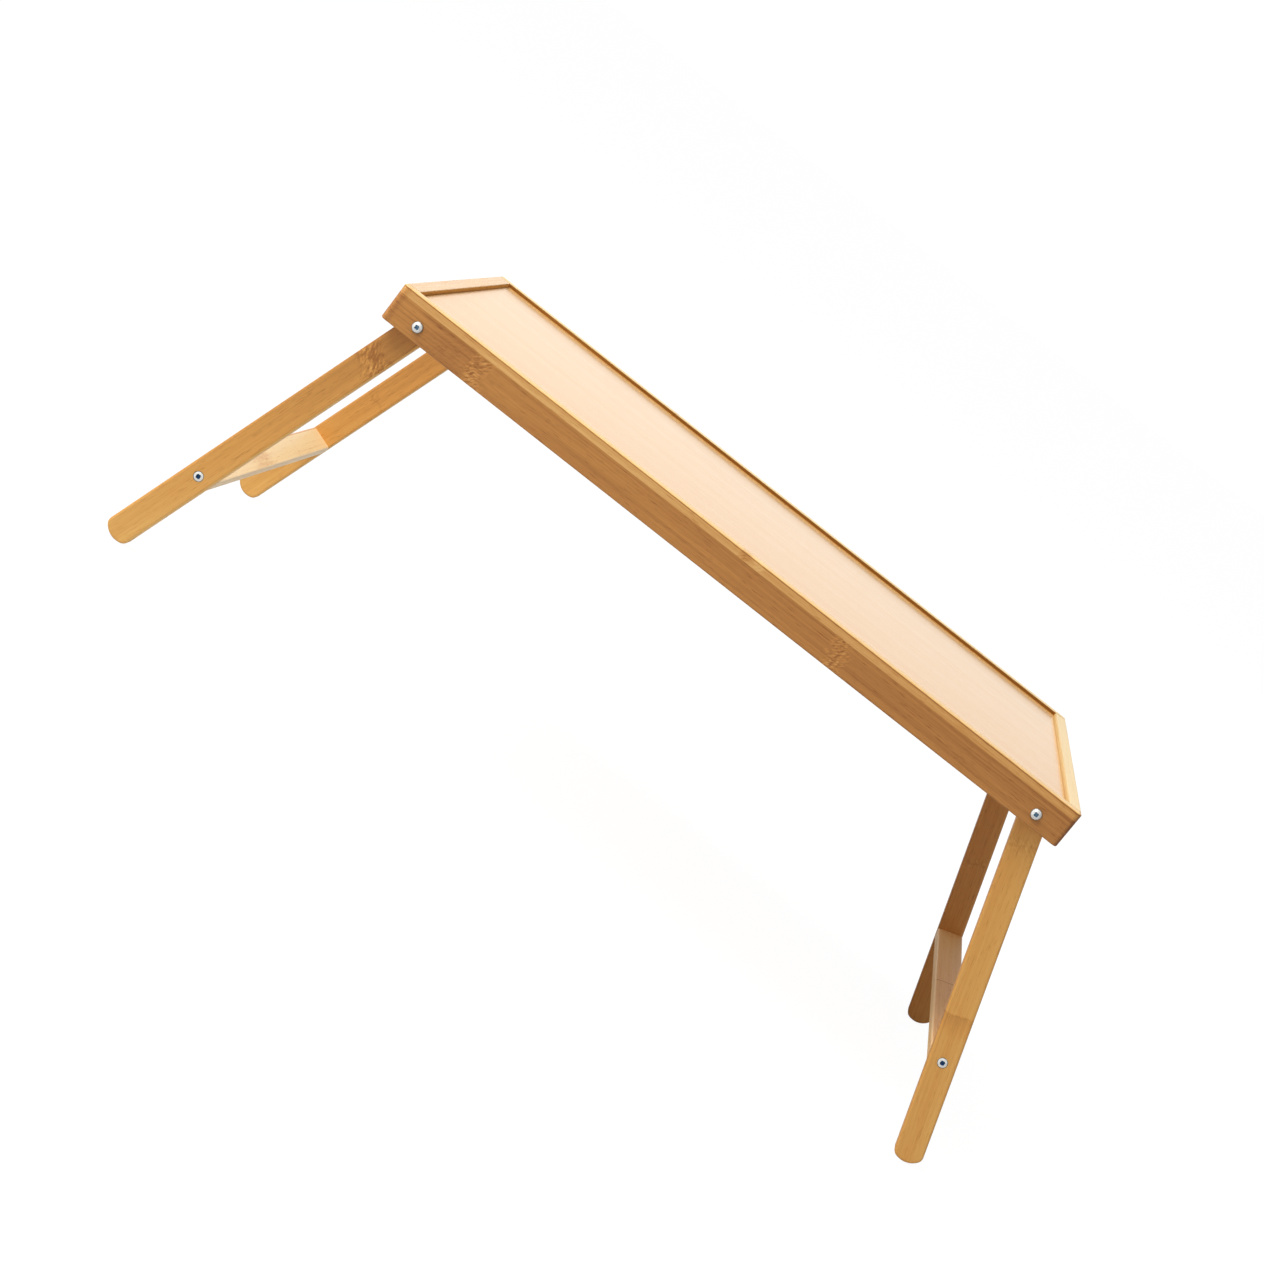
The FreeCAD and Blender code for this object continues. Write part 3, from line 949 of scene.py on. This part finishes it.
@dataclass
class Fastener:
    """Turned metal piece with a cross recess, modelled along Z with its head up and set along Y."""

    node: str
    body: str
    metals: dict[MetalPart, bpy.types.Material]
    steps: int = 48
    recess_span_mm: float = 3.1
    recess_arm_mm: float = 1.24
    recess_well_mm: float = 1.24
    recess_depth_mm: float = 1.6
    recess_taper: float = 0.71
    recess_arms: int = 4
    recess_turn_deg: float = 45.0
    # share of the head's radius beyond which the rim takes painted shade and painted reflection
    rim_share: float = 0.86
    dome_shares: tuple[float, ...] = (0.55, 0.66, 0.79, 0.89, 0.96, 1.0)
    snap_mm: float = 0.05
    weld_mm: float = 0.001
    broken_edge_mm: float = 0.05
    edge_segments: int = 2
    sharp_deg: float = 35.0

    @property
    def head_radius_mm(self) -> float:
        """Radius of the head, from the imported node's box."""
        low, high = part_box(self.node)
        return (high.x - low.x) / 2 / MM

    @property
    def length_mm(self) -> float:
        """Length over all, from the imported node's box."""
        low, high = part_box(self.node)
        return (high.y - low.y) / MM

    def profile(self) -> Outline:
        """Radius and height of the turned outline, in millimetres, from the head's middle to the tip."""
        raise NotImplementedError

    def dome(self, rise_mm: float, power: float) -> Outline:
        """Outline of a domed head from its middle to its rim, with the rim at height 0.

        Args:
            rise_mm: Height of the middle above the rim.
            power: 2 for a round dome, more for one that is flat on top.

        Returns:
            Radius and height of each point, in millimetres: the recess has rings of its own.
        """
        head = self.head_radius_mm
        shares = (0.0, self.recess_well_mm / head, self.recess_span_mm / 2 / head) + self.dome_shares
        return [(head * share, rise_mm * (1 - share ** power)) for share in shares]

    def build(self) -> None:
        """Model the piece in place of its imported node, riding on its body."""
        shape = self._turn()
        self._sink_recess(shape)
        bmesh.ops.transform(shape, matrix=self._place(), verts=shape.verts)
        mesh = bpy.data.meshes.new(f"{self.node}_turned")
        shape.to_mesh(mesh)
        shape.free()
        for part in MetalPart:
            mesh.materials.append(self.metals[part])
        piece = bpy.data.objects.new(mesh.name, mesh)
        bpy.context.scene.collection.objects.link(piece)
        self._round_off(piece)
        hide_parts(self.node)
        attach(piece, self.body)
        LOG.info("built %s", piece.name)

    def _turn(self) -> bmesh.types.BMesh:
        """Spin the outline into a closed solid.

        Returns:
            The solid along Z, with the zinc of its body and the painted shade of its rim.
        """
        shape = bmesh.new()
        corners = [shape.verts.new((radius * MM, 0.0, height * MM)) for radius, height in self.profile()]
        edges = [shape.edges.new(pair) for pair in zip(corners, corners[1:])]
        bmesh.ops.spin(shape, geom=corners + edges, axis=(0.0, 0.0, 1.0), cent=(0.0, 0.0, 0.0),
                       steps=self.steps, angle=math.tau, use_merge=True)
        bmesh.ops.remove_doubles(shape, verts=shape.verts, dist=self.weld_mm * MM)
        bmesh.ops.recalc_face_normals(shape, faces=shape.faces)
        # the outer ring of the head takes a darker zinc: painted shade and painted reflection of the wood
        # round it
        rim = self.rim_share * self.head_radius_mm * MM
        for face in shape.faces:
            beyond = face.calc_center_median().xy.length > rim
            face.material_index = (MetalPart.RIM if beyond else MetalPart.BODY).value
        return shape

    def _sink_recess(self, shape: bmesh.types.BMesh) -> None:
        """Score the arms of the cross on the dome, then push the cross in.

        Args:
            shape: The turned solid, which is changed.
        """
        top = self.profile()[0][1]
        half_arm = self.recess_arm_mm / 2 * MM
        turns = [self.recess_turn_deg + 360 / self.recess_arms * arm for arm in range(self.recess_arms)]
        sides = [Matrix.Rotation(math.radians(turn), 3, "Z") @ Vector((0.0, 1.0, 0.0)) for turn in turns]
        for side in sides:
            ring = [face for face in self._dome_faces(shape, self.recess_span_mm / 2)
                    if face not in self._dome_faces(shape, self.recess_well_mm)]
            bmesh.ops.bisect_plane(shape, geom=self._with_edges(ring), dist=self.snap_mm * MM,
                                   plane_co=side * half_arm, plane_no=side)
        sunk = self._dome_faces(shape, self.recess_well_mm)
        for face in self._dome_faces(shape, self.recess_span_mm / 2):
            middle = face.calc_center_median()
            if face not in sunk and any(abs(middle.dot(side)) < half_arm for side in sides):
                sunk.append(face)
        pushed = bmesh.ops.extrude_face_region(shape, geom=self._with_edges(sunk))["geom"]
        floor = [part for part in pushed if isinstance(part, bmesh.types.BMVert)]
        bmesh.ops.scale(shape, verts=floor, vec=(self.recess_taper, self.recess_taper, 0.0))
        bmesh.ops.translate(shape, verts=floor, vec=(0.0, 0.0, (top - self.recess_depth_mm) * MM))
        # the recess walls take a bluish colour of their own: painted shade and painted reflection
        for face in (face for vert in floor for face in vert.link_faces):
            face.material_index = MetalPart.RECESS.value
        bmesh.ops.recalc_face_normals(shape, faces=shape.faces)

    def _dome_faces(self, shape: bmesh.types.BMesh, radius_mm: float) -> list[bmesh.types.BMFace]:
        """Faces of the dome within a radius of the axis."""
        return [face for face in shape.faces
                if (middle := face.calc_center_median()).z > 0.0 and middle.xy.length < radius_mm * MM]

    def _with_edges(self, faces: list[bmesh.types.BMFace]) -> list[MeshElement]:
        """Gather what the operators take for a patch of faces.

        Args:
            faces: The patch.

        Returns:
            The faces, their edges and their corners, each once and in order.
        """
        edges = dict.fromkeys(edge for face in faces for edge in face.edges)
        corners = dict.fromkeys(vert for face in faces for vert in face.verts)
        return [*faces, *edges, *corners]

    def _round_off(self, piece: bpy.types.Object) -> None:
        """Smooth the turned faces and break the sharp edges.

        Args:
            piece: The finished object.
        """
        piece.data.shade_smooth()
        bevel = piece.modifiers.new("broken_edges", "BEVEL")
        bevel.width = self.broken_edge_mm * MM
        bevel.segments = self.edge_segments
        bevel.limit_method = "ANGLE"
        bevel.angle_limit = math.radians(self.sharp_deg)
        bevel.harden_normals = True

    def _place(self) -> Matrix:
        """Find where the piece goes: its axis along Y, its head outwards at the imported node's end.

        Returns:
            The matrix from the turned solid to the table.
        """
        low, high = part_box(self.node)
        middle = (low + high) / 2
        outwards = math.copysign(1.0, middle.y)
        face = high.y if outwards > 0 else low.y
        top = self.profile()[0][1] * MM
        turn = Matrix.Rotation(-outwards * math.pi / 2, 4, "X")
        return Matrix.Translation((middle.x, face - outwards * top, middle.z)) @ turn


@dataclass
class PivotBolt(Fastener):
    """Bolt that a leg swings on: domed head outside the rail, plain shank, tip in the nut."""

    rise_mm: float = 1.7
    dome_power: float = 3.2
    rim_mm: float = 0.7
    shank_radius_mm: float = 2.0
    tip_bevel_mm: float = 0.5

    def profile(self) -> Outline:
        """Outline with the head's rim at height 0.

        Returns:
            Radius and height of each point, in millimetres.
        """
        shank, bevel = self.shank_radius_mm, self.tip_bevel_mm
        tip = self.rise_mm - self.length_mm
        return self.dome(self.rise_mm, self.dome_power) + [
            (self.head_radius_mm, -self.rim_mm), (shank, -self.rim_mm), (shank, tip + bevel),
            (shank - bevel, tip), (0.0, tip)]


@dataclass
class StretcherScrew(Fastener):
    """Raised countersunk screw that holds the slat: low dome at the leg's face, cone, shank and point."""

    recess_arm_mm: float = 1.47
    recess_well_mm: float = 1.39
    rise_mm: float = 0.7
    dome_power: float = 2.0
    rim_mm: float = 0.3
    shank_radius_mm: float = 1.75
    point_mm: float = 4.0

    def profile(self) -> Outline:
        """Outline with the head's rim at height 0.

        Returns:
            Radius and height of each point, in millimetres.
        """
        shank = self.shank_radius_mm
        neck = -self.rim_mm - (self.head_radius_mm - shank)
        tip = self.rise_mm - self.length_mm
        return self.dome(self.rise_mm, self.dome_power) + [
            (self.head_radius_mm, -self.rim_mm), (shank, neck), (shank, tip + self.point_mm), (0.0, tip)]


@dataclass
class Hardware:
    """All the metal pieces."""

    zinc: ZincFinish = ZincFinish("bright_zinc", screen_colour(246, 247, 244), roughness=0.34, metallic=0.2)
    # the rim's darker zinc and the recesses' blue colours are painted shade and painted reflection
    rim: ZincFinish = ZincFinish("rim_zinc", screen_colour(150, 144, 128), roughness=0.36, metallic=0.6)
    bolt_recess: ZincFinish = ZincFinish("bolt_recess_zinc", screen_colour(132, 166, 190),
                                         roughness=0.45, metallic=0.3)
    screw_recess: ZincFinish = ZincFinish("screw_recess_zinc", screen_colour(30, 88, 138),
                                          roughness=0.45, metallic=0.3)
    plain_parts: tuple[str, ...] = ("pivot_washer", "nut_washer", "pivot_nut")

    def build(self) -> None:
        """Dress the washers and nuts, and model the bolts and screws."""
        metal = self.zinc.material()
        bolt_metals = {MetalPart.BODY: metal, MetalPart.RIM: self.rim.material(),
                       MetalPart.RECESS: self.bolt_recess.material()}
        screw_metals = {**bolt_metals, MetalPart.RECESS: self.screw_recess.material()}
        for side in Side:
            for end in End:
                corner = f"{side.label}_{end.label}"
                for part in self.plain_parts:
                    dress(f"{corner}_{part}", metal)
                PivotBolt(f"{corner}_pivot_bolt", "tray", bolt_metals).build()
                StretcherScrew(f"{corner}_stretcher_screw", f"{side.label}_leg_frame", screw_metals).build()


@dataclass
class Studio:
    """Pale floor, soft light and the camera.

    The spans of the sky and of its two lights are shares of the viewing direction's X, Y or Z.
    """

    floor_half: float = 30.0
    floor_share: float = 0.12
    floor_glow: float = 0.95
    floor_bounce: float = 0.65
    floor_roughness: float = 0.9
    horizon: float = 0.50
    zenith: float = 0.22
    sky_height: Span = (0.0, 0.9)
    sweep: float = 0.62
    sweep_depth: Span = (0.2, 0.95)
    sweep_height: Span = (0.2, 0.7)
    sweep_width: Span = (-0.3, 0.3)
    sweep_sides: Span = (1.15, 0.85)
    front_fill: float = 0.28
    fill_depth: Span = (-0.9, -0.2)
    fill_height: Span = (0.15, 0.5)
    seen_white: float = 1.05
    key_power: float = 114.0
    key_size: float = 2.6
    key_place: Spot = (-1.9, -1.0, 2.65)
    key_aim: Spot = (0.0, 0.0, 0.15)
    eye: Spot = (-0.00195, -1.85281, 0.45561)
    aim: Spot = (-0.02308, 0.0, 0.12163)
    roll_deg: float = 38.10
    lens: float = 83.00
    sensor: float = 36.0

    def build(self) -> None:
        """Set up the whole studio."""
        bpy.context.scene.view_settings.view_transform = "Standard"
        self._lay_floor()
        self._light_world()
        self._hang_key()
        self._place_camera()

    def _lay_floor(self) -> None:
        """One plain sheet under the feet: it throws light up and stays pale where the table shades it."""
        shape = bmesh.new()
        bmesh.ops.create_grid(shape, x_segments=1, y_segments=1, size=self.floor_half)
        mesh = bpy.data.meshes.new("floor")
        shape.to_mesh(mesh)
        shape.free()
        floor = bpy.data.objects.new("floor", mesh)
        bpy.context.scene.collection.objects.link(floor)
        material = bpy.data.materials.new("pale_floor")
        bench = Bench(material)
        seen = bench.node("ShaderNodeLightPath").outputs["Is Camera Ray"]
        share = bench.between(seen, 0.0, 1.0, self.floor_bounce, self.floor_share)
        bench.surface({"Base Color": bench.join(share, share, share), "Roughness": self.floor_roughness,
                       "Specular IOR Level": 0.0, "Emission Color": WHITE,
                       "Emission Strength": bench.math("MULTIPLY", seen, self.floor_glow)})
        mesh.materials.append(material)

    def _light_world(self) -> None:
        """Sky that darkens upwards, a bright backdrop and a front fill, white where the camera looks."""
        world = bpy.data.worlds.new("studio")
        bpy.context.scene.world = world
        bench = Bench(world)
        width, depth, height = bench.split(bench.node("ShaderNodeTexCoord").outputs["Generated"])
        sky = bench.between(height, *self.sky_height, self.horizon, self.zenith)
        backdrop = bench.math("MULTIPLY", bench.between(depth, *self.sweep_depth, 0.0, self.sweep),
                              bench.between(height, *self.sweep_height, 1.0, 0.0))
        backdrop = bench.math("MULTIPLY", backdrop,
                              bench.between(width, *self.sweep_width, *self.sweep_sides))
        front = bench.math("MULTIPLY", bench.between(depth, *self.fill_depth, self.front_fill, 0.0),
                           bench.between(height, *self.fill_height))
        sky = bench.math("ADD", bench.math("ADD", sky, backdrop), front)
        seen = bench.node("ShaderNodeLightPath").outputs["Is Camera Ray"]
        strength = bench.math("MAXIMUM", sky, bench.math("MULTIPLY", seen, self.seen_white))
        light = bench.node("ShaderNodeBackground")
        bench.feed(light.inputs["Color"], WHITE)
        bench.feed(light.inputs["Strength"], strength)
        output = bench.node("ShaderNodeOutputWorld")
        bench.feed(output.inputs["Surface"], light.outputs[0])

    def _hang_key(self) -> None:
        """One large soft lamp from the left, in front of and above the table."""
        lamp = bpy.data.lights.new("key", "AREA")
        lamp.shape = "DISK"
        lamp.size = self.key_size
        lamp.energy = self.key_power
        key = bpy.data.objects.new("key", lamp)
        key.location = self.key_place
        key.rotation_mode = "QUATERNION"
        key.rotation_quaternion = (Vector(self.key_aim) - key.location).to_track_quat("-Z", "Y")
        bpy.context.scene.collection.objects.link(key)

    def _place_camera(self) -> None:
        """Camera at the picture's angle, rolled as the picture is."""
        lens = bpy.data.cameras.new("camera")
        lens.lens = self.lens
        lens.sensor_width = self.sensor
        camera = bpy.data.objects.new("camera", lens)
        camera.location = self.eye
        look = Vector(self.aim) - camera.location
        camera.rotation_mode = "QUATERNION"
        roll = Quaternion((0.0, 0.0, 1.0), math.radians(self.roll_deg))
        camera.rotation_quaternion = look.to_track_quat("-Z", "Y") @ roll
        bpy.context.scene.collection.objects.link(camera)
        bpy.context.scene.camera = camera


def pivot_of(joint: str) -> Vector:
    """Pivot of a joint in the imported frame, in metres."""
    return next(Vector(item["pos_m"]) for item in frame["joints"] if item["name"] == joint)


def left_leg_frame() -> LegFrame:
    """Choose the look of the left leg frame.

    Returns:
        The frame, with a pale slat and legs that grow paler towards the foot: the darker tone towards the
        pivot is partly the bamboo's own and partly painted shade of the tray.
    """
    return LegFrame(
        Side.LEFT, pivot_of("left_leg_fold"),
        tones={End.FRONT: LEG_TONE, End.BACK: LEG_TONE},
        marks={End.FRONT: (NodeMarkAndPaintedShade(35.5, 12.0, speckle=1.5, lift=-0.10, shade=-0.06, fade_mm=14.0),),
               End.BACK: (NodeMarkAndPaintedShade(112.0, 5.0, speckle=0.3),)},
        # the dark outer edge, 0.12, is painted shade and the pale inner edge, 0.75, painted light
        level=0.28, outer_edge_level=0.12, inner_edge_level=0.75, drift=0.18,
        slat_tone=SLAT_TONE,
        slat_marks=(NodeMarkAndPaintedShade(70.0, 5.0, speckle=0.4),
                    NodeMarkAndPaintedShade(-28.0, 34.0, speckle=0.5, lift=-0.16, line=0.0)),
        # the pale band on the slat's inner narrow edge, 0.85, is painted light
        slat_bands=((-9.0, 0.85), (-8.0, 0.5), (0.0, 0.55), (7.6, 0.15)))


def right_leg_frame() -> LegFrame:
    """Choose the look of the right leg frame.

    Returns:
        The frame, with a slat and a back leg in darker tones that are painted shade of the tray.
    """
    return LegFrame(
        Side.RIGHT, pivot_of("right_leg_fold"),
        tones={End.FRONT: LEG_TONE, End.BACK: SHADED_LEG_TONE},
        marks={End.FRONT: (NodeMarkAndPaintedShade(132.0, 4.0, speckle=0.3, line=0.05, shade=0.17),
                           NodeMarkAndPaintedShade(23.0, 7.0, speckle=0.7)),
               End.BACK: (NodeMarkAndPaintedShade(107.0, 6.0, speckle=0.5),)},
        level=0.55, outer_edge_level=0.5, inner_edge_level=0.58, drift=0.02,
        slat_tone=SHADED_SLAT_TONE,
        slat_marks=(NodeMarkAndPaintedShade(11.0, 3.0, speckle=0.3, line=0.42),),
        # the pale band on the slat's inner narrow edge, 0.95, is painted light
        slat_bands=((-9.0, 0.5), (0.0, 0.55), (7.9, 0.95)),
        # the drift makes the slat darker towards its front end: painted shade where the lamp reaches past
        # the tray
        slat_roughness=0.5, slat_drift=0.10)


def main() -> None:
    """Build and dress the table in order, then set up the studio."""
    logging.basicConfig(level=logging.INFO)
    Tray().build()
    left_leg_frame().build()
    right_leg_frame().build()
    Hardware().build()
    Studio().build()


if __name__ == "__main__":
    main()
